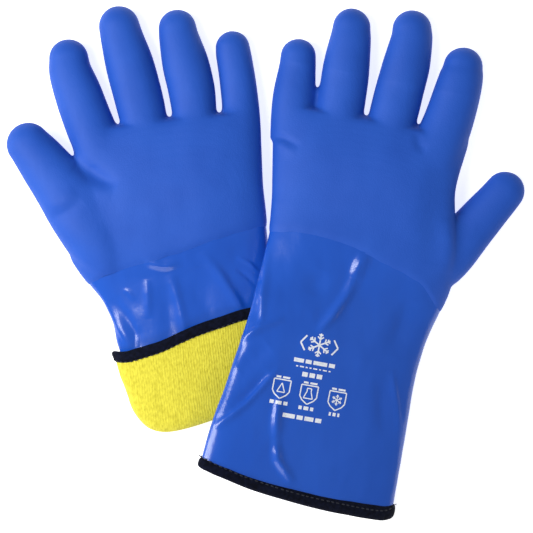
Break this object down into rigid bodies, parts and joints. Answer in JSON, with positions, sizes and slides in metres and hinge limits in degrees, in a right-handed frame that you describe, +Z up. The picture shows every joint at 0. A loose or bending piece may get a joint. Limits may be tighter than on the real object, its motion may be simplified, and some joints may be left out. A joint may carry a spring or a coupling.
{
  "type": "cryogenic gloves",
  "caption": "Insulated gauntlet gloves with rough coated hands, smooth coated cuffs and a knitted liner, laid flat, one palm up with its cuff turned up, one back up.",
  "frame": {"origin": "centre of the bounding box's bottom face, on the table that the gloves lie on", "axes": "+Z up off the table, +Y towards the fingertips, +X from the palm-up glove to the back-up glove"},
  "size_m": [0.3114, 0.3176, 0.0469],
  "materials": {
    "rough_pvc": "matt, finely grained",
    "smooth_pvc": "smooth",
    "gloss_pvc": "glossy",
    "knit": "brushed knit",
    "tape": "woven tape",
    "thread": "spun thread"
  },
  "bodies": {
    "palm_up_glove": {"palm_up_hand_grip": "rough_pvc", "palm_up_hand_shell": "smooth_pvc", "palm_up_hand_liner": "knit", "palm_up_gauntlet_shell": "gloss_pvc", "palm_up_gauntlet_liner": "knit", "palm_up_turned_shell": "gloss_pvc", "palm_up_turned_liner": "knit", "palm_up_edge_tape": "tape", "palm_up_tape_stitches": "thread"},
    "palm_up_thumb": {"palm_up_thumb_grip": "rough_pvc", "palm_up_thumb_shell": "smooth_pvc", "palm_up_thumb_liner": "knit"},
    "palm_up_index": {"palm_up_index_grip": "rough_pvc", "palm_up_index_shell": "smooth_pvc", "palm_up_index_liner": "knit"},
    "palm_up_middle": {"palm_up_middle_grip": "rough_pvc", "palm_up_middle_shell": "smooth_pvc", "palm_up_middle_liner": "knit"},
    "palm_up_ring": {"palm_up_ring_grip": "rough_pvc", "palm_up_ring_shell": "smooth_pvc", "palm_up_ring_liner": "knit"},
    "palm_up_little": {"palm_up_little_grip": "rough_pvc", "palm_up_little_shell": "smooth_pvc", "palm_up_little_liner": "knit"},
    "back_up_glove": {"back_up_hand_grip": "rough_pvc", "back_up_hand_shell": "smooth_pvc", "back_up_hand_liner": "knit", "back_up_gauntlet_shell": "gloss_pvc", "back_up_gauntlet_liner": "knit", "back_up_edge_tape": "tape", "back_up_tape_stitches": "thread"},
    "back_up_thumb": {"back_up_thumb_grip": "rough_pvc", "back_up_thumb_shell": "smooth_pvc", "back_up_thumb_liner": "knit"},
    "back_up_index": {"back_up_index_grip": "rough_pvc", "back_up_index_shell": "smooth_pvc", "back_up_index_liner": "knit"},
    "back_up_middle": {"back_up_middle_grip": "rough_pvc", "back_up_middle_shell": "smooth_pvc", "back_up_middle_liner": "knit"},
    "back_up_ring": {"back_up_ring_grip": "rough_pvc", "back_up_ring_shell": "smooth_pvc", "back_up_ring_liner": "knit"},
    "back_up_little": {"back_up_little_grip": "rough_pvc", "back_up_little_shell": "smooth_pvc", "back_up_little_liner": "knit"}
  },
  "joints": [
    {"name": "back_up_glove_lift", "type": "slide", "parent": "palm_up_glove", "child": "back_up_glove", "axis": [0, 0, 1], "range_m": [0, 0.15]},
    {"name": "palm_up_thumb_flex", "type": "hinge", "parent": "palm_up_glove", "child": "palm_up_thumb", "pos_m": [-0.12349, 0.05201, 0.03133], "axis": [0.7668, 0.6419, 0], "range_deg": [0, 45], "stiffness_Nm_per_rad": 0.04},
    {"name": "palm_up_index_flex", "type": "hinge", "parent": "palm_up_glove", "child": "palm_up_index", "pos_m": [-0.10305, 0.07912, 0.02487], "axis": [0.9693, 0.2459, 0], "range_deg": [0, 70], "stiffness_Nm_per_rad": 0.04},
    {"name": "palm_up_middle_flex", "type": "hinge", "parent": "palm_up_glove", "child": "palm_up_middle", "pos_m": [-0.07271, 0.08475, 0.02391], "axis": [0.9766, 0.2151, 0], "range_deg": [0, 70], "stiffness_Nm_per_rad": 0.04},
    {"name": "palm_up_ring_flex", "type": "hinge", "parent": "palm_up_glove", "child": "palm_up_ring", "pos_m": [-0.04232, 0.08837, 0.02327], "axis": [0.9847, 0.1742, 0], "range_deg": [0, 70], "stiffness_Nm_per_rad": 0.04},
    {"name": "palm_up_little_flex", "type": "hinge", "parent": "palm_up_glove", "child": "palm_up_little", "pos_m": [-0.01468, 0.08966, 0.02023], "axis": [0.9927, 0.1203, 0], "range_deg": [0, 70], "stiffness_Nm_per_rad": 0.04},
    {"name": "back_up_thumb_flex", "type": "hinge", "parent": "back_up_glove", "child": "back_up_thumb", "pos_m": [0.12337, 0.0263, 0.02439], "axis": [0.7231, -0.6907, 0], "range_deg": [0, 30], "stiffness_Nm_per_rad": 0.04},
    {"name": "back_up_index_flex", "type": "hinge", "parent": "back_up_glove", "child": "back_up_index", "pos_m": [0.10463, 0.07525, 0.02519], "axis": [0.9686, -0.2486, 0], "range_deg": [0, 30], "stiffness_Nm_per_rad": 0.04},
    {"name": "back_up_middle_flex", "type": "hinge", "parent": "back_up_glove", "child": "back_up_middle", "pos_m": [0.07447, 0.08415, 0.02423], "axis": [0.9831, -0.1833, 0], "range_deg": [0, 30], "stiffness_Nm_per_rad": 0.04},
    {"name": "back_up_ring_flex", "type": "hinge", "parent": "back_up_glove", "child": "back_up_ring", "pos_m": [0.04365, 0.08909, 0.02359], "axis": [0.9916, -0.1297, 0], "range_deg": [0, 30], "stiffness_Nm_per_rad": 0.04},
    {"name": "back_up_little_flex", "type": "hinge", "parent": "back_up_glove", "child": "back_up_little", "pos_m": [0.01481, 0.0906, 0.02071], "axis": [0.9936, -0.1125, 0], "range_deg": [0, 30], "stiffness_Nm_per_rad": 0.04}
  ]
}
